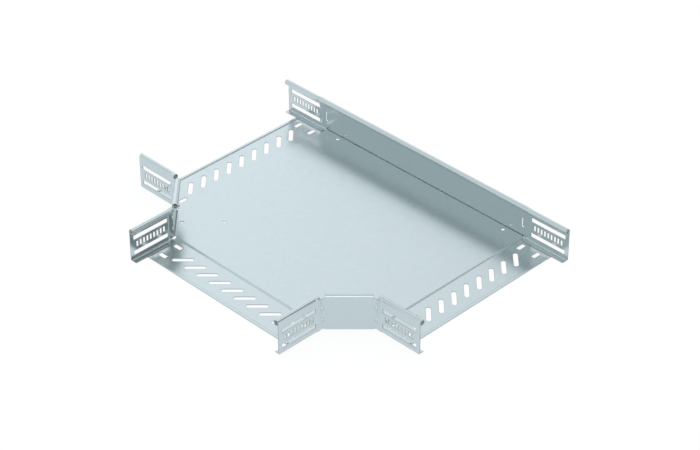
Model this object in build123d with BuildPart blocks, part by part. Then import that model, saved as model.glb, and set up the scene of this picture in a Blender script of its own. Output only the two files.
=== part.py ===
from build123d import *
from math import acos, cos, degrees, hypot, radians, sin, sqrt, tan
import os

os.makedirs("parts", exist_ok=True)

# Cable tray tee, folded from galvanised sheet.
# X runs along the straight run, the branch leaves toward -Y and Z is up.
# The origin is under the middle of the whole tee, on the plane it rests on.

# Sheet
sheet = 1.0                  # thickness of every folded sheet
bend_radius = 1.8            # outside radius between a bottom lip and its web
fold_radius = 1.0            # inside radius of the upright corner folds

# Plan, measured from the tray's centrelines to the outer face of the webs
connector_half = 148.0       # webs of the connectors, which slide inside the next tray
joggle_step = 1.0            # how far the web steps out behind a connector
joggle_length = 3.0
corner_leg = 50.0            # what a 45 degree plate cuts off each side of its corner
fold_margin = 7.5            # straight web between an upright fold and the joggle
connector_length = 68.0      # from the joggle to an open end

# Webs
web_height = 55.5
curl_radius = 4.25           # outside radius of the rolled top edge
curl_gap = 0.5               # between the end of the curl and the web
lip_width = 9.0              # bottom lips seen over the strips
deck_lip_width = 16.0        # bottom lips hidden under the deck
end_radius = 4.0             # rounded lower corner at each open end
fold_relief = 3.5            # curl and lip stop this far from an upright fold

# Openings in the connectors
slot_width = 7.0
slot_length = 61.2
slot_corner = 0.8
slot_margin = 6.2            # from a long slot to the open end
lower_slot_height = 11.6     # heights are measured from the underside of the web
upper_slot_height = 36.7
vent_count = 9
vent_pitch = 6.05
vent_width = 3.5
vent_length = 9.0
vent_height = 24.6

# Openings in the upright folds
fold_slot_width = 3.0
fold_slot_length = 7.0
fold_slot_low = 17.2
fold_slot_high = 36.2

# L-shaped slits in the long rail
slit_width = 2.0
slit_height = 15.7
slit_foot = 4.0
slit_low = 15.7
slit_left_inset = 1.5        # from the fold's place along the rail
slit_right_inset = 6.4

# Deck and strips
deck_clearance = 0.2         # between the deck's edge and the bend of a web
ramp_inset = 2.8             # the deck begins to step down this far inside the folds
ramp_angle = 60.0
ramp_radius = 0.8            # centre of the sheet
strip_clearance = 1.0        # between a strip's ears, under the lips, and the webs
strip_length = 58.5          # from the start of the ramp to the strip's outer edge
hem_width = 4.6              # outer edge of each strip, folded back flat on top of it
hem_clearance = 1.0          # between the ends of a hem and the lips beside it
notch_clearance = 1.2        # round the ramp where it passes through the long lip

# Openings in the strips
tie_pitch = 25.0
tie_count = 9
tie_setback = 28.2           # rows are placed from the start of the ramp
tie_length = 31.0
tie_width = 7.0
tie_angle = 45.0             # between a slot and the row it stands in
side_slot_length = 14.0
side_slot_width = 6.8
side_slot_setback = 13.1
side_slot_spacing = 27.7
side_slot_inset = 20.3       # from the outer face of the web beside it

# Round holes
deck_hole_radius = 2.8
rail_hole_radius = 4.0       # the long rail's own holes, wider than the deck's
rail_hole_setback = 34.0     # from the fold's place along the rail
rail_hole_inset = 9.5        # from the outer face of the long rail
corner_hole_inset = 7.0      # over the lip of each 45 degree plate, from its middle along X and Y
inner_hole_inset = 49.0      # further in, in the deck alone

# Levels: strips lowest, then the lips, then the deck
lip_level = sheet
deck_level = 2 * sheet
curl_centre = lip_level + web_height - curl_radius
web_foot = lip_level + bend_radius
curl_sweep = 360 - degrees(acos((curl_radius - sheet - curl_gap) / curl_radius))

# Plan sizes that follow
body_half = connector_half + joggle_step
fold_at = body_half + corner_leg
joggle_start = fold_at + fold_margin
joggle_end = joggle_start + joggle_length
run_half = joggle_end + connector_length
plate_middle = body_half + corner_leg / 2
plate_half = corner_leg / sqrt(2) - fold_relief
ramp_start = fold_at - ramp_inset
strip_half = connector_half - sheet - strip_clearance
strip_end = ramp_start + strip_length
slot_centre = run_half - slot_margin - slot_length / 2
cut_depth = 2 * sheet

# The tray's centreline along X lies this far from the origin
tray_y = (run_half - body_half) / 2


def plan(level):
    """Level sketch plane with its centre on the tray's centrelines."""
    return Plane(origin=(0, tray_y, level))


def station(x, y, heading):
    """Upright sketch plane square to a heading in degrees, local x to the left of it, local y up."""
    turn = radians(heading)
    return Plane(origin=(x, y + tray_y, 0), x_dir=(-sin(turn), cos(turn), 0), z_dir=(cos(turn), sin(turn), 0))


def rail_section(start, lip):
    """Closed section of lip, bend, web and curl, with the outer face of the web at local x = 0."""
    with BuildSketch(start) as section:
        with BuildLine():
            lip_under = Line((-lip, lip_level), (-bend_radius, lip_level))
            bend_out = CenterArc((-bend_radius, web_foot), bend_radius, 270, 90)
            Line(bend_out @ 1, (0, curl_centre))
            curl_out = CenterArc((-curl_radius, curl_centre), curl_radius, 0, curl_sweep)
            curl_in = CenterArc((-curl_radius, curl_centre), curl_radius - sheet, 0, curl_sweep)
            Line(curl_out @ 1, curl_in @ 1)
            bend_in = CenterArc((-bend_radius, web_foot), bend_radius - sheet, 270, 90)
            Line(curl_in @ 0, bend_in @ 1)
            Polyline(bend_in @ 0, (-lip, lip_level + sheet), lip_under @ 0)
        make_face()
    return section.sketch


def rail_stretch(start, lip, length):
    """Full section, extruded square to its plane."""
    extrude(rail_section(start, lip), amount=length)


def joggle(start, direction):
    """Full section, extruded at a slant so that the web steps sideways."""
    extrude(rail_section(start, lip_width), amount=hypot(joggle_length, joggle_step), dir=direction)


def connector_openings(web):
    """Two long slots with a row of short ones between them, in a web drawn from its left end."""
    with BuildSketch(web) as openings:
        with Locations(
            (-slot_centre, lip_level + lower_slot_height),
            (-slot_centre, lip_level + upper_slot_height),
        ):
            RectangleRounded(slot_length, slot_width, slot_corner)
        with Locations((-slot_centre, lip_level + vent_height)):
            with GridLocations(vent_pitch, 0, vent_count, 1):
                RectangleRounded(vent_width, vent_length, slot_corner)
    extrude(openings.sketch, amount=cut_depth, both=True, mode=Mode.SUBTRACT)


def round_end(web, depth):
    """Rounded lower corner of a web and its lip at the open end."""
    with BuildSketch(web) as corner:
        with Locations((-run_half, lip_level)):
            Rectangle(end_radius, end_radius, align=Align.MIN)
        with Locations((-run_half + end_radius, lip_level + end_radius)):
            Circle(end_radius, mode=Mode.SUBTRACT)
    extrude(corner.sketch, amount=depth, both=True, mode=Mode.SUBTRACT)


# One sheet, a T with its two inner corners cut, stepped down to a strip at each open end
tie_row = ramp_start + tie_setback
side_slot_inner = ramp_start + side_slot_setback
side_slot_outer = side_slot_inner + side_slot_spacing
side_slot_half = connector_half - side_slot_inset
rail_hole_x = fold_at - rail_hole_setback
rail_hole_y = body_half - rail_hole_inset
corner_hole = plate_middle - corner_hole_inset
inner_hole = plate_middle - inner_hole_inset
deck_half = body_half - bend_radius - deck_clearance
deck_edge_sum = body_half + fold_at - sqrt(2) * (bend_radius + deck_clearance)
ramp_run = deck_level / tan(radians(ramp_angle))
deck_end = ramp_start - ramp_radius
deck_corner = deck_edge_sum - deck_end
hem_half = connector_half - lip_width - hem_clearance
deck_middle = deck_level + sheet / 2
strip_middle = sheet / 2

with BuildPart() as base_plate:
    with BuildSketch(plan(deck_level)):
        with BuildLine():
            Polyline(
                (-deck_end, deck_half),
                (-deck_end, -deck_corner),
                (-deck_corner, -deck_end),
                (deck_corner, -deck_end),
                (deck_end, -deck_corner),
                (deck_end, deck_half),
                close=True,
            )
        make_face()
    extrude(amount=sheet)
    for leg in (0, 180, 270):
        with BuildSketch(station(0, 0, leg - 90)):
            with BuildLine():
                FilletPolyline(
                    (deck_end, deck_middle),
                    (ramp_start, deck_middle),
                    (ramp_start + ramp_run, strip_middle),
                    (strip_end - sheet, strip_middle),
                    radius=ramp_radius,
                )
            trace(line_width=sheet)
        extrude(amount=strip_half, both=True)
        with BuildSketch(station(0, 0, leg - 90)):
            with Locations((strip_end - hem_width, 0)):
                Rectangle(hem_width - sheet, 2 * sheet, align=Align.MIN)
            with Locations((strip_end - sheet, sheet)):
                Circle(sheet)
        extrude(amount=hem_half, both=True)
    # Slanted slots for ties, one row along each strip
    with BuildSketch(plan(0)):
        with Locations((-tie_row, 0), (tie_row, 0)):
            with GridLocations(0, tie_pitch, 1, tie_count):
                SlotOverall(tie_length, tie_width, rotation=-tie_angle)
        with Locations((0, -tie_row)):
            with GridLocations(tie_pitch, 0, tie_count, 1):
                SlotOverall(tie_length, tie_width, rotation=tie_angle)
    extrude(amount=sheet, mode=Mode.SUBTRACT)
    # Short slots beside the rails
    with BuildSketch(plan(0)):
        for x in (side_slot_inner, side_slot_outer):
            with GridLocations(2 * x, 2 * side_slot_half, 2, 2):
                RectangleRounded(side_slot_width, side_slot_length, slot_corner)
            with Locations((0, -x)):
                with GridLocations(2 * side_slot_half, 0, 2, 1):
                    RectangleRounded(side_slot_length, side_slot_width, slot_corner)
    extrude(amount=sheet, mode=Mode.SUBTRACT)
    with BuildSketch(plan(deck_level)):
        for side in (-1, 1):
            with Locations(
                (side * rail_hole_x, rail_hole_y),
                (side * corner_hole, -corner_hole),
                (side * inner_hole, -inner_hole),
            ):
                Circle(deck_hole_radius)
    extrude(amount=sheet, mode=Mode.SUBTRACT)
base_plate.part.label = "base_plate"

# The long rail, made as its left half and mirrored before the slits are cut
notch_start = deck_end - notch_clearance
notch_end = ramp_start + ramp_run + sheet + notch_clearance
notch_depth = strip_half + notch_clearance - (body_half - deck_lip_width)
slit_left = slit_left_inset - fold_at
slit_right = fold_at - slit_right_inset

with BuildPart() as straight_rail:
    rail_stretch(station(-run_half, connector_half, 0), lip_width, connector_length)
    joggle(station(-joggle_end, connector_half, 0), (joggle_length, joggle_step, 0))
    rail_stretch(station(-joggle_start, body_half, 0), lip_width, joggle_start - ramp_start)
    rail_stretch(station(-ramp_start, body_half, 0), deck_lip_width, ramp_start)
    connector_openings(station(0, connector_half, -90))
    round_end(station(0, connector_half, -90), lip_width)
    # Notch in the lip where the deck steps down through its level
    with BuildSketch(plan(lip_level)):
        with Locations((-notch_end, body_half - deck_lip_width)):
            Rectangle(notch_end - notch_start, notch_depth, align=Align.MIN)
    extrude(amount=sheet, mode=Mode.SUBTRACT)
    with BuildSketch(plan(lip_level)):
        with Locations((-rail_hole_x, rail_hole_y)):
            Circle(rail_hole_radius)
    extrude(amount=sheet, mode=Mode.SUBTRACT)
    mirror(about=Plane.YZ)
    with BuildSketch(station(0, body_half, -90)):
        for x in (slit_left, slit_right):
            with Locations((x - slit_width / 2, lip_level + slit_low)):
                Rectangle(slit_width, slit_height, align=Align.MIN)
                Rectangle(slit_width / 2 + slit_foot, slit_width, align=Align.MIN)
    extrude(amount=cut_depth, both=True, mode=Mode.SUBTRACT)
straight_rail.part.label = "straight_rail"

# A corner rail is one sheet, made as its half toward the straight run and mirrored over the diagonal
plate_end = plate_middle + plate_half / sqrt(2)
plate_end_inner = plate_middle - plate_half / sqrt(2)
leg_start = fold_at + fold_relief
middle_fold = fold_at - sheet / 2 * tan(radians(22.5))
half_slant = sheet / 2 / sqrt(2)

with BuildPart() as corner_rail_left:
    rail_stretch(station(-plate_middle, -plate_middle, 135), deck_lip_width, plate_half)
    # The fold itself is web alone
    with BuildSketch(plan(web_foot)):
        with BuildLine():
            FilletPolyline(
                (half_slant - plate_end, half_slant - plate_end_inner),
                (-middle_fold, sheet / 2 - body_half),
                (-leg_start, sheet / 2 - body_half),
                radius=fold_radius + sheet / 2,
            )
        trace(line_width=sheet)
    extrude(amount=curl_centre - web_foot)
    rail_stretch(station(-leg_start, -body_half, 180), lip_width, joggle_start - leg_start)
    joggle(station(-joggle_start, -body_half, 180), (-joggle_length, joggle_step, 0))
    rail_stretch(station(-joggle_end, -connector_half, 180), lip_width, connector_length)
    connector_openings(station(0, -connector_half, -90))
    round_end(station(0, -connector_half, -90), lip_width)
    with BuildSketch(station(-fold_at, -body_half, 67.5)):
        with Locations((0, lip_level + fold_slot_low), (0, lip_level + fold_slot_high)):
            SlotOverall(fold_slot_length, fold_slot_width, rotation=90)
    extrude(amount=cut_depth, both=True, mode=Mode.SUBTRACT)
    with BuildSketch(plan(lip_level)):
        with Locations((-corner_hole, -corner_hole)):
            Circle(deck_hole_radius)
    extrude(amount=sheet, mode=Mode.SUBTRACT)
    mirror(about=Plane(origin=(0, tray_y, 0), z_dir=(1, -1, 0)))
corner_rail_left.part.label = "corner_rail_left"

with BuildPart() as corner_rail_right:
    mirror(corner_rail_left.part, about=Plane.YZ)
corner_rail_right.part.label = "corner_rail_right"

export_step(base_plate.part, "parts/base_plate.step")
export_step(straight_rail.part, "parts/straight_rail.step")
export_step(corner_rail_left.part, "parts/corner_rail_left.step")
export_step(corner_rail_right.part, "parts/corner_rail_right.step")
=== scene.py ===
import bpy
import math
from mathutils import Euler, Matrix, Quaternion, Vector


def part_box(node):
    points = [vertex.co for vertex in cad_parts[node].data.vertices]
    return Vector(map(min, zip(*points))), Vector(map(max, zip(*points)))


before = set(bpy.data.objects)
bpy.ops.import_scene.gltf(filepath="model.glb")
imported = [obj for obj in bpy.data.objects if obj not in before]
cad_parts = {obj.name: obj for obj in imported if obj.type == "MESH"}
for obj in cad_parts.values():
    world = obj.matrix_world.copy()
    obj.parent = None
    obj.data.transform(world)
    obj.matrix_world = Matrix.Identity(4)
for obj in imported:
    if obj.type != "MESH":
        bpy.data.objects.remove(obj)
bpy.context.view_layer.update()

# %% [markdown]
# # A galvanised cable tray tee
#
# Three short stretches of tray meet here: a straight run along X and a branch toward -Y.
# The tee is made of four folded sheets, a deck and three rails, and nothing else.
# Each was modelled as a solid, in metres, with the strips resting on Z = 0.
# This lesson gives the finished solids their zinc, sets up the camera and lights a plain studio.

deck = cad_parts["base_plate"]
long_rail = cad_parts["straight_rail"]
corner_rails = [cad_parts["corner_rail_left"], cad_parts["corner_rail_right"]]
for name, sheet in sorted(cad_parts.items()):
    low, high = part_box(name)
    size_mm = [round(1000 * side, 1) for side in high - low]
    print(name, "measures", size_mm, "mm and has", len(sheet.data.polygons), "faces")

# %% [markdown]
# ## The camera
#
# A product picture of a tray looks down on one corner, so that deck, rails and slots all show.
# A long lens from three metres keeps the edges nearly parallel. Azimuth is counted from the
# front, -Y, and elevation from the floor. The roll is the small tilt of a hand-levelled tripod.

# %% Place the camera
image_width = 700             # pixels
azimuth = math.radians(45.1309)
elevation = math.radians(35.0166)
roll = math.radians(-0.1087)
distance = 3.14284
aim = Vector((0.04207, 0.02327, 0.0390))
back = Vector((
    math.sin(azimuth) * math.cos(elevation),
    -math.cos(azimuth) * math.cos(elevation),
    math.sin(elevation),
))
level_turn = Euler((math.pi / 2 - elevation, 0, azimuth)).to_quaternion()
bpy.ops.object.select_all(action="DESELECT")
bpy.ops.object.camera_add(
    location=aim + distance * back,
    rotation=(level_turn @ Quaternion((0, 0, 1), roll)).to_euler(),
)
camera = bpy.context.active_object
camera.name = "tripod_camera"
camera.data.lens = 117.132
camera.data.sensor_width = 36
camera.data.clip_end = 100
bpy.context.scene.camera = camera
view_width = camera.data.sensor_width / camera.data.lens * distance
print(f"The view is {view_width:.3f} m wide at the tee, {1000 * view_width / image_width:.2f} mm a pixel")

# %% [markdown]
# ## A white studio
#
# Bare metal has no colour of its own to show: it shows the room. A tray is shot in a white tent,
# and what shapes it are slow changes from one side of the tent to the other. So the world is
# that tent, and each lamp or card in it is a lobe: light added, or taken away, round one
# direction. A wide glow stands low beyond the left end and a soft box hangs above the camera.
# A dark flag on the right draws a crisp line along each rolled edge that points to the front, and
# a narrow strip light above the long rail brightens the metal beside that line. The top is a
# little darker. What the tent lights turns faintly blue, but to the camera it is plain white.


# %% Node helpers
def add_node(tree, kind, **settings):
    """A node of that kind, with its settings."""
    node = tree.nodes.new(kind)
    for key, value in settings.items():
        setattr(node, key, value)
    return node


def arithmetic(tree, operation, first, second):
    """A Math node's output. Each side is a number or another node's output."""
    node = add_node(tree, "ShaderNodeMath", operation=operation)
    for socket, side in zip(node.inputs, (first, second)):
        if isinstance(side, (int, float)):
            socket.default_value = side
        else:
            tree.links.new(side, socket)
    return node.outputs[0]


def remap(tree, value, from_low, from_high, to_low, to_high, smooth=False):
    """A Map Range node's output, held at its two ends."""
    node = add_node(tree, "ShaderNodeMapRange")
    node.interpolation_type = "SMOOTHSTEP" if smooth else "LINEAR"
    for name, number in zip(
        ("From Min", "From Max", "To Min", "To Max"), (from_low, from_high, to_low, to_high)
    ):
        node.inputs[name].default_value = number
    tree.links.new(value, node.inputs["Value"])
    return node.outputs["Result"]


def mix_colours(tree, share, first, second):
    """From the first colour to the second. Each is a plain colour or another node's output."""
    node = add_node(tree, "ShaderNodeMix", data_type="RGBA")
    tree.links.new(share, node.inputs["Factor"])
    for name, side in (("A", first), ("B", second)):
        if isinstance(side, tuple):
            node.inputs[name].default_value = (*side, 1)
        else:
            tree.links.new(side, node.inputs[name])
    return node.outputs["Result"]


plain_white = (1.0, 1.0, 1.0)
print("Helpers ready, plain white is", plain_white)

# %% The tent
tent_level = 1.0
top_dimming = 0.14
dimming_start = 0.5           # how high a direction points: 0 is the horizon, 1 is overhead
tent_tint = (0.977, 1.0, 1.041)
# Direction, degrees off it within which it is full, degrees at which it ends, light added
lobes = {
    "glow": ((-0.91, 0.33, 0.26), 20, 42, 0.34),
    "soft box": ((0.445, -0.445, 0.777), 8, 16, 1.1),
    "flag": ((0.70, 0.52, 0.47), 13, 22, -0.62),
    "strip light": ((0.17, 0.58, 0.80), 9, 16, 0.40),
}

world = bpy.data.worlds.new("white_tent")
bpy.context.scene.world = world
world.use_nodes = True
tent = world.node_tree
tent.nodes.clear()
toward = add_node(tent, "ShaderNodeTexCoord").outputs["Generated"]


def lobe(direction, core, rim, level):
    """Light added round one direction: full within the core angle, none past the rim angle."""
    aimed = add_node(tent, "ShaderNodeVectorMath", operation="DOT_PRODUCT")
    aimed.inputs[1].default_value = Vector(direction).normalized()
    tent.links.new(toward, aimed.inputs[0])
    edges = math.cos(math.radians(rim)), math.cos(math.radians(core))
    return remap(tent, aimed.outputs["Value"], *edges, 0, level, smooth=True)


height = add_node(tent, "ShaderNodeSeparateXYZ")
tent.links.new(toward, height.inputs[0])
dimmed_level = tent_level - top_dimming
light = remap(tent, height.outputs["Z"], dimming_start, 1.0, tent_level, dimmed_level, smooth=True)
for name, (direction, core, rim, level) in lobes.items():
    light = arithmetic(tent, "ADD", light, lobe(direction, core, rim, level))
    print("The", name, "is", level, "within", core, "degrees and ends at", rim)
seen = add_node(tent, "ShaderNodeLightPath").outputs["Is Camera Ray"]
tent_strength = add_node(tent, "ShaderNodeMix", data_type="FLOAT")
tent.links.new(seen, tent_strength.inputs["Factor"])
tent.links.new(light, tent_strength.inputs["A"])
tent_strength.inputs["B"].default_value = 1.0
tent_light = add_node(tent, "ShaderNodeBackground")
tent.links.new(tent_strength.outputs["Result"], tent_light.inputs["Strength"])
tent.links.new(mix_colours(tent, seen, tent_tint, plain_white), tent_light.inputs["Color"])
tent_end = add_node(tent, "ShaderNodeOutputWorld")
tent.links.new(tent_light.outputs[0], tent_end.inputs["Surface"])

# %% [markdown]
# ## The floor
#
# The floor is a sheet of white paper. Most of its brightness is a plain glow that the camera and
# the metal's reflections both see, the latter in the tent's faint blue. A small share is real
# diffuse paper, so that the tee still leaves a faint shadow where it stands. The sheet lies a
# hair below the strips, so that no two faces share one plane.

# %% Lay the paper
floor_size = 60               # metres, so that its edge is never seen
floor_gap = 0.0002
paper_seen = 0.90
paper_mirrored = 0.93
paper_shade = 0.11
paper_tint = (0.965, 1.0, 1.045)
bpy.ops.object.select_all(action="DESELECT")
bpy.ops.mesh.primitive_plane_add(size=floor_size, location=(0, 0, -floor_gap))
floor = bpy.context.active_object
floor.name = "paper_floor"
paper = bpy.data.materials.new("white_paper")
paper.use_nodes = True
tree = paper.node_tree
tree.nodes.clear()
path = add_node(tree, "ShaderNodeLightPath")
looked_at = path.outputs["Is Camera Ray"]
mirrored = arithmetic(tree, "MAXIMUM", path.outputs["Is Glossy Ray"], path.outputs["Is Transmission Ray"])
strength = arithmetic(
    tree,
    "ADD",
    arithmetic(tree, "MULTIPLY", looked_at, paper_seen),
    arithmetic(tree, "MULTIPLY", mirrored, paper_mirrored),
)
shine = add_node(tree, "ShaderNodeEmission")
tree.links.new(strength, shine.inputs["Strength"])
tree.links.new(mix_colours(tree, looked_at, paper_tint, plain_white), shine.inputs["Color"])
matt = add_node(tree, "ShaderNodeBsdfDiffuse")
matt.inputs["Color"].default_value = (paper_shade, paper_shade, paper_shade, 1)
both = add_node(tree, "ShaderNodeAddShader")
tree.links.new(shine.outputs[0], both.inputs[0])
tree.links.new(matt.outputs[0], both.inputs[1])
paper_end = add_node(tree, "ShaderNodeOutputMaterial")
tree.links.new(both.outputs[0], paper_end.inputs["Surface"])
floor.data.materials.append(paper)
bpy.context.scene.view_settings.view_transform = "Standard"
print("Floor", round(floor.dimensions.x), "m wide, lit paper shows at", paper_seen + paper_shade)

# %% [markdown]
# ## Zinc: the crystals
#
# Steel strip is drawn through molten zinc, which freezes in flat crystals called spangle. On tray
# sheet they are a few millimetres wide and differ by a few percent in brightness, and each one
# lies at its own slight tilt. A Voronoi texture splits the surface into such cells. The group
# gives each cell a random tone and lets fine feathering run through it. Object coordinates tie
# the pattern to the metal, in metres, so a scale is simply the number of crystals in a metre.


# %% Group helper
def start_group(name, inputs, outputs):
    """A new shader group, with its ends. Inputs and outputs are given as name: socket type."""
    tree = bpy.data.node_groups.new(name, "ShaderNodeTree")
    for label, kind in inputs.items():
        tree.interface.new_socket(name=label, in_out="INPUT", socket_type=kind)
    for label, kind in outputs.items():
        tree.interface.new_socket(name=label, in_out="OUTPUT", socket_type=kind)
    start = add_node(tree, "NodeGroupInput")
    end = add_node(tree, "NodeGroupOutput")
    return tree, start.outputs, end.inputs


number, vector = "NodeSocketFloat", "NodeSocketVector"
print("Groups take", number, "and", vector, "sockets")

# %% The spangle group
border_wander = 0.0022        # metres that the warping spreads a border over
feathers_per_crystal = 4.0
cell_part = 0.65              # of the tone, and feathering is the rest
crown_reach = 0.7             # where the crown of a crystal has run out, in crystals

spangle_group, given, result = start_group(
    "zinc_spangle", {"Vector": vector, "Crystals per metre": number}, {"Tone": number, "Relief": number}
)
# A little warping keeps the crystal borders from being ruler straight
warp = add_node(spangle_group, "ShaderNodeTexNoise", noise_dimensions="3D")
warp.inputs["Detail"].default_value = 3
spangle_group.links.new(given["Vector"], warp.inputs["Vector"])
spangle_group.links.new(given["Crystals per metre"], warp.inputs["Scale"])
centred = add_node(spangle_group, "ShaderNodeVectorMath", operation="SUBTRACT")
centred.inputs[1].default_value = (0.5, 0.5, 0.5)
spangle_group.links.new(warp.outputs["Color"], centred.inputs[0])
nudge = add_node(spangle_group, "ShaderNodeVectorMath", operation="SCALE")
nudge.inputs["Scale"].default_value = border_wander
spangle_group.links.new(centred.outputs[0], nudge.inputs[0])
warped = add_node(spangle_group, "ShaderNodeVectorMath", operation="ADD")
spangle_group.links.new(given["Vector"], warped.inputs[0])
spangle_group.links.new(nudge.outputs[0], warped.inputs[1])
cells = add_node(spangle_group, "ShaderNodeTexVoronoi", feature="F1")
spangle_group.links.new(warped.outputs[0], cells.inputs["Vector"])
spangle_group.links.new(given["Crystals per metre"], cells.inputs["Scale"])
cell_random = add_node(spangle_group, "ShaderNodeSeparateColor")
spangle_group.links.new(cells.outputs["Color"], cell_random.inputs[0])
# Feathering: fine noise whose place jumps from crystal to crystal
jump = add_node(spangle_group, "ShaderNodeVectorMath", operation="ADD")
spangle_group.links.new(given["Vector"], jump.inputs[0])
spangle_group.links.new(cells.outputs["Color"], jump.inputs[1])
feather = add_node(spangle_group, "ShaderNodeTexNoise", noise_dimensions="3D")
feather.inputs["Detail"].default_value = 4
feather.inputs["Roughness"].default_value = 0.6
spangle_group.links.new(jump.outputs[0], feather.inputs["Vector"])
feather_scale = arithmetic(spangle_group, "MULTIPLY", given["Crystals per metre"], feathers_per_crystal)
spangle_group.links.new(feather_scale, feather.inputs["Scale"])
cell_share = arithmetic(spangle_group, "MULTIPLY", cell_random.outputs[0], cell_part)
feather_share = arithmetic(spangle_group, "MULTIPLY", feather.outputs["Fac"], 1 - cell_part)
tone = arithmetic(spangle_group, "ADD", cell_share, feather_share)
spangle_group.links.new(tone, result["Tone"])
crown = remap(spangle_group, cells.outputs["Distance"], 0.0, crown_reach, 1.0, 0.0, smooth=True)
relief = arithmetic(spangle_group, "MULTIPLY", crown, cell_random.outputs[1])
spangle_group.links.new(relief, result["Relief"])
print(spangle_group.name, "has", len(spangle_group.nodes), "nodes")

# %% [markdown]
# ## Zinc: the rolling grain
#
# Before the zinc, the strip was rolled, and the rolls leave hair lines along its length. Noise
# that is stretched about a hundred times further one way than the others gives such lines. Each
# sheet was cut from the strip its own way round, so the stretch is an input of the group. A
# second noise, many times wider, gives the broad bands that the lines lie in.

# %% The grain group
band_scale = 0.06             # of the scale of the lines
grain_group, given, result = start_group(
    "rolling_grain", {"Vector": vector, "Lines per metre": vector}, {"Lines": number, "Bands": number}
)
stretched = add_node(grain_group, "ShaderNodeVectorMath", operation="MULTIPLY")
grain_group.links.new(given["Vector"], stretched.inputs[0])
grain_group.links.new(given["Lines per metre"], stretched.inputs[1])
for output, scale in (("Lines", 1.0), ("Bands", band_scale)):
    lines = add_node(grain_group, "ShaderNodeTexNoise", noise_dimensions="3D")
    lines.inputs["Scale"].default_value = scale
    lines.inputs["Detail"].default_value = 2
    grain_group.links.new(stretched.outputs[0], lines.inputs["Vector"])
    grain_group.links.new(lines.outputs["Fac"], result[output])
print(grain_group.name, "has", len(grain_group.nodes), "nodes")

# %% [markdown]
# ## Handling: wear on edges
#
# Trays are stacked, slid and bolted together. Corners and the rims of the slots are rubbed
# brighter and smoother. The Bevel node finds edges: there its rounded normal leans away from the
# true one. The difference, broken up by noise, is the wear.

# %% The wear group
full_lean, no_lean = 0.80, 0.99       # cosine between the rounded and the true normal
least_wear = 0.25                     # what is left between the patches
patch_start, patch_full = 0.35, 0.65  # of the noise that the patches are made from

wear_group, given, result = start_group(
    "edge_wear",
    {"Vector": vector, "Width": number, "Patches per metre": number},
    {"Mask": number, "Soft normal": vector},
)
softened = add_node(wear_group, "ShaderNodeBevel", samples=4)
wear_group.links.new(given["Width"], softened.inputs["Radius"])
true_face = add_node(wear_group, "ShaderNodeNewGeometry")
lean = add_node(wear_group, "ShaderNodeVectorMath", operation="DOT_PRODUCT")
wear_group.links.new(softened.outputs[0], lean.inputs[0])
wear_group.links.new(true_face.outputs["Normal"], lean.inputs[1])
edge = remap(wear_group, lean.outputs["Value"], full_lean, no_lean, 1.0, 0.0)
patches = add_node(wear_group, "ShaderNodeTexNoise", noise_dimensions="3D")
patches.inputs["Detail"].default_value = 4
wear_group.links.new(given["Vector"], patches.inputs["Vector"])
wear_group.links.new(given["Patches per metre"], patches.inputs["Scale"])
broken = remap(wear_group, patches.outputs["Fac"], patch_start, patch_full, least_wear, 1.0)
wear_group.links.new(arithmetic(wear_group, "MULTIPLY", edge, broken), result["Mask"])
wear_group.links.new(softened.outputs[0], result["Soft normal"])
print(wear_group.name, "has", len(wear_group.nodes), "nodes")

# %% [markdown]
# ## Handling: rub marks
#
# Faint scuffs cross the flats, most of them in one of two directions, since trays slide along
# each other. Each set is noise that is stretched into streaks, of which only the highest peaks
# show. A cloudy noise on a larger scale decides where there are any at all.

# %% The scuff group
streak_turns = (0.4, 1.9)             # radians about Z
streak_tilt = (0.3, 0.2)              # radians about X and Y, so that upright webs get some too
streak_length = 14.0                  # times a streak's width
cloud_scale = 0.2                     # of the scale of the marks
streak_start, streak_full = 0.66, 0.74
cloud_start, cloud_full = 0.45, 0.65

scuff_group, given, result = start_group(
    "rub_marks", {"Vector": vector, "Marks per metre": number}, {"Mask": number, "Cloud": number}
)
cloud = add_node(scuff_group, "ShaderNodeTexNoise", noise_dimensions="3D")
cloud.inputs["Detail"].default_value = 3
clouds_per_metre = arithmetic(scuff_group, "MULTIPLY", given["Marks per metre"], cloud_scale)
scuff_group.links.new(given["Vector"], cloud.inputs["Vector"])
scuff_group.links.new(clouds_per_metre, cloud.inputs["Scale"])
scratch_masks = []
for turn in streak_turns:
    slanted = add_node(scuff_group, "ShaderNodeMapping")
    slanted.inputs["Rotation"].default_value = (*streak_tilt, turn)
    slanted.inputs["Scale"].default_value = (1.0, streak_length, streak_length)
    scuff_group.links.new(given["Vector"], slanted.inputs["Vector"])
    streaks = add_node(scuff_group, "ShaderNodeTexNoise", noise_dimensions="3D")
    streaks.inputs["Detail"].default_value = 2
    scuff_group.links.new(slanted.outputs[0], streaks.inputs["Vector"])
    scuff_group.links.new(given["Marks per metre"], streaks.inputs["Scale"])
    scratch_masks.append(remap(scuff_group, streaks.outputs["Fac"], streak_start, streak_full, 0.0, 1.0))
scratches = arithmetic(scuff_group, "MAXIMUM", *scratch_masks)
where = remap(scuff_group, cloud.outputs["Fac"], cloud_start, cloud_full, 0.0, 1.0)
scuff_group.links.new(arithmetic(scuff_group, "MULTIPLY", scratches, where), result["Mask"])
scuff_group.links.new(cloud.outputs["Fac"], result["Cloud"])
print(scuff_group.name, "has", len(scuff_group.nodes), "nodes")
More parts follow.
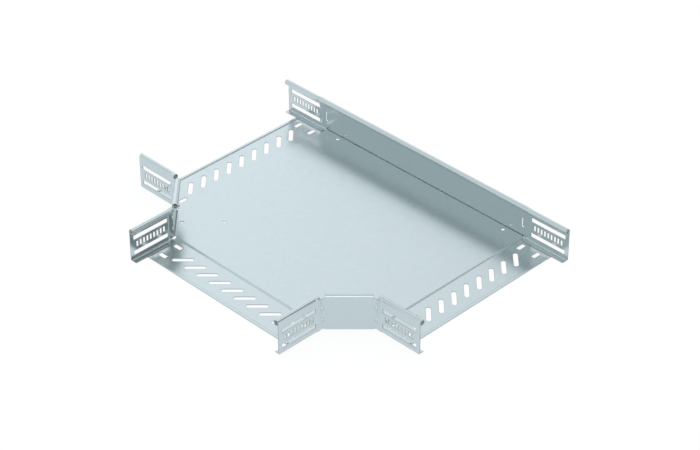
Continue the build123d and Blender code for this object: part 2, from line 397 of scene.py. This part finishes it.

# %% [markdown]
# ## Where the rolls close in: painted light
#
# Inside a rolled edge the metal would pass the light on down the tube and stay nearly black. There
# it is given painted light: a near-white, matt coat, which scatters the light instead. Ambient
# Occlusion measures how closed in a point is by the sheet's own faces, within a few millimetres.

# %% The hollow group
closed_light, open_light = 0.25, 0.60         # what Ambient Occlusion gives in a roll and outside
# The mask marks the insides of the rolls, which get a near-white coat as painted light
hollow_group, given, result = start_group("hollow_painted_light", {"Reach": number}, {"Mask": number})
closed_in = add_node(hollow_group, "ShaderNodeAmbientOcclusion", samples=6, only_local=True)
hollow_group.links.new(given["Reach"], closed_in.inputs["Distance"])
closed_share = remap(hollow_group, closed_in.outputs["AO"], closed_light, open_light, 1.0, 0.0)
hollow_group.links.new(closed_share, result["Mask"])
print(hollow_group.name, "has", len(hollow_group.nodes), "nodes")

# %% [markdown]
# ## Where the press cut through: bare steel and painted shade
#
# The strip is coated before it is punched, so the walls of every slot and the ends of every sheet
# are bare steel, rougher than the zinc. Their darker colour is partly that bare steel and partly
# painted shade, standing in for the shadowed floor under the tee that these walls would reflect.
# The sheet is 1 mm thick. Looking inward from a broad face, nothing is met within 0.8 mm, but from
# a cut face both broad faces are that close. Ambient Occlusion turned inside tells the two apart.

# %% The cut edge group
# The mask marks the cut faces, which get bare steel darkened into painted shade
cut_light, broad_light = 0.6, 0.9             # what it gives behind a cut face and a broad one
cut_shade_group, given, result = start_group("bare_cut_and_painted_shade", {"Reach": number}, {"Mask": number})
inward = add_node(cut_shade_group, "ShaderNodeAmbientOcclusion", samples=6, only_local=True, inside=True)
cut_shade_group.links.new(given["Reach"], inward.inputs["Distance"])
bare_and_shaded = remap(cut_shade_group, inward.outputs["AO"], cut_light, broad_light, 1.0, 0.0)
cut_shade_group.links.new(bare_and_shaded, result["Mask"])
print(cut_shade_group.name, "has", len(cut_shade_group.nodes), "nodes")

# %% [markdown]
# ## The finish itself
#
# The metal is one Principled shader, fully metallic except inside the rolls, where it turns into a
# near-white matt coat that is painted light. Two zinc greys, a little blue, are mixed by crystal
# tone, bands and clouds, then lightened where the wear is. The cut walls take bare steel, darkened
# into painted shade, and the insides of the rolls take that painted light. The same masks move the
# roughness, since it is mostly by gloss that zinc crystals differ. Relief, lines and scuffs become
# height in a Bump node, laid over the softened edge normal.

# %% Colours and amounts
pale_zinc = (0.546, 0.622, 0.627)
dark_zinc = (0.524, 0.597, 0.602)
rubbed_zinc = (0.66, 0.71, 0.73)
# Bare steel, set dark enough to be painted shade on the slot walls and sheet ends as well
bare_steel_and_painted_shade = (0.34, 0.35, 0.36)
# Painted light: a near-white colour that lifts the shade inside the rolls
painted_light_in_rolls = (0.93, 0.95, 0.96)
rub_strength = 0.3                    # how far wear goes toward the colour of rubbed zinc
# Inside the rolls the metal is nearly matt, so that the painted near-white colour lifts their shade
painted_light_metallic = 0.1
dull_tone, glossy_tone = 0.2, 0.8     # crystal tones at the two ends of the roughness
dull_rough = 0.02                     # what the dullest crystals add to the roughness
# How much each pattern counts in the colour, together 1
tone_part, band_part, cloud_part = 0.5, 0.25, 0.25
# What each pattern adds to the roughness where it is full
line_rough, scuff_rough, wear_rough, hollow_rough, cut_rough = 0.02, 0.03, -0.05, 0.6, 0.15
# What each adds to the height, in metres
crystal_height, line_height, scuff_height = 1.0e-6, 2.0e-7, -3.0e-7
edge_width = 0.0005                   # metres, as are the next two
roll_reach = 0.007                    # about as wide as the hollow of a rolled edge
cut_reach = 0.0008                    # less than the sheet's thickness
wear_patches = 60.0                   # in a metre
rub_marks = 45.0                      # in a metre
print("The zinc runs from", dark_zinc, "to", pale_zinc, "and cut steel is", bare_steel_and_painted_shade)


# %% Helpers for a finish
def place_group(tree, group, coordinates, **values):
    """One use of a group in a material, with its own values. An underscore stands for a space."""
    node = add_node(tree, "ShaderNodeGroup", node_tree=group)
    if coordinates:
        tree.links.new(coordinates, node.inputs["Vector"])
    for label, value in values.items():
        node.inputs[label.replace("_", " ")].default_value = value
    return node.outputs


def add_shares(tree, total, shares):
    """The total with each mask added, times its own amount."""
    for mask, amount in shares:
        total = arithmetic(tree, "ADD", total, arithmetic(tree, "MULTIPLY", mask, amount))
    return total


print("Groups can be placed and their masks added up")


# %% Galvanised finish
def galvanised(name, roughness, crystals, lines):
    """Zinc-coated sheet, with the roughness of its glossiest crystals, and how many crystals and
    grain lines there are in a metre, the lines along X, Y and Z."""
    material = bpy.data.materials.new(name)
    material.use_nodes = True
    tree = material.node_tree
    tree.nodes.clear()
    place = add_node(tree, "ShaderNodeTexCoord").outputs["Object"]
    spangle = place_group(tree, spangle_group, place, Crystals_per_metre=crystals)
    grain = place_group(tree, grain_group, place, Lines_per_metre=lines)
    wear = place_group(tree, wear_group, place, Width=edge_width, Patches_per_metre=wear_patches)
    scuffs = place_group(tree, scuff_group, place, Marks_per_metre=rub_marks)
    hollow = place_group(tree, hollow_group, None, Reach=roll_reach)
    cut = place_group(tree, cut_shade_group, None, Reach=cut_reach)
    # Colour
    blend = arithmetic(tree, "MULTIPLY", spangle["Tone"], tone_part)
    blend = add_shares(tree, blend, ((grain["Bands"], band_part), (scuffs["Cloud"], cloud_part)))
    colour = mix_colours(tree, blend, dark_zinc, pale_zinc)
    colour = mix_colours(tree, arithmetic(tree, "MULTIPLY", wear["Mask"], rub_strength), colour, rubbed_zinc)
    # Bare steel on the cut faces, partly its own colour and partly painted shade
    colour = mix_colours(tree, cut["Mask"], colour, bare_steel_and_painted_shade)
    # Painted light: the insides of the rolls turn near-white, lifting their shade
    colour = mix_colours(tree, hollow["Mask"], colour, painted_light_in_rolls)
    # Roughness
    rough = remap(tree, spangle["Tone"], dull_tone, glossy_tone, roughness + dull_rough, roughness)
    rough = add_shares(tree, rough, (
        (grain["Lines"], line_rough),
        (scuffs["Mask"], scuff_rough),
        (wear["Mask"], wear_rough),
        (hollow["Mask"], hollow_rough),
        (cut["Mask"], cut_rough),
    ))
    # Height, in metres
    height = arithmetic(tree, "MULTIPLY", spangle["Relief"], crystal_height)
    height = add_shares(tree, height, ((grain["Lines"], line_height), (scuffs["Mask"], scuff_height)))
    bump = add_node(tree, "ShaderNodeBump")
    bump.inputs["Strength"].default_value = 1.0
    bump.inputs["Distance"].default_value = 1.0
    tree.links.new(height, bump.inputs["Height"])
    tree.links.new(wear["Soft normal"], bump.inputs["Normal"])
    metal = add_node(tree, "ShaderNodeBsdfPrincipled")
    # Nearly matt inside the rolls, part of the painted light there
    metallic = remap(tree, hollow["Mask"], 0.0, 1.0, 1.0, painted_light_metallic)
    tree.links.new(metallic, metal.inputs["Metallic"])
    tree.links.new(colour, metal.inputs["Base Color"])
    tree.links.new(rough, metal.inputs["Roughness"])
    tree.links.new(bump.outputs["Normal"], metal.inputs["Normal"])
    end = add_node(tree, "ShaderNodeOutputMaterial")
    tree.links.new(metal.outputs[0], end.inputs["Surface"])
    return material


print("One recipe for every sheet of the tee, with edges worn", 1000 * edge_width, "mm wide")

# %% [markdown]
# ## Finishing the sheets
#
# The three rails and the deck come from the same strip, but each was slit and turned its own way.
# On the deck the grain runs along the straight run. On a rail it runs along the web, so the lines
# are stacked by height. The solids are kept exactly as they are: only what fills their material
# slots changes.


# %% Coat the sheets
def coat(sheet, material):
    """The material in every slot of a finished solid."""
    for slot in sheet.material_slots:
        slot.material = material
    print(sheet.name, "is coated with", material.name, "in", len(sheet.material_slots), "slot")


# Roughness, crystals in a metre, grain lines in a metre along X, Y and Z, and what is coated
finishes = {
    "galvanised_deck": (0.24, 190.0, (9.0, 900.0, 9.0), [deck]),
    "galvanised_long_rail": (0.18, 210.0, (9.0, 9.0, 900.0), [long_rail]),
    "galvanised_corner_rail": (0.18, 230.0, (12.0, 12.0, 900.0), corner_rails),
}
for name, (roughness, crystals, lines, sheets) in finishes.items():
    zinc = galvanised(name, roughness, crystals, lines)
    for sheet in sheets:
        coat(sheet, zinc)
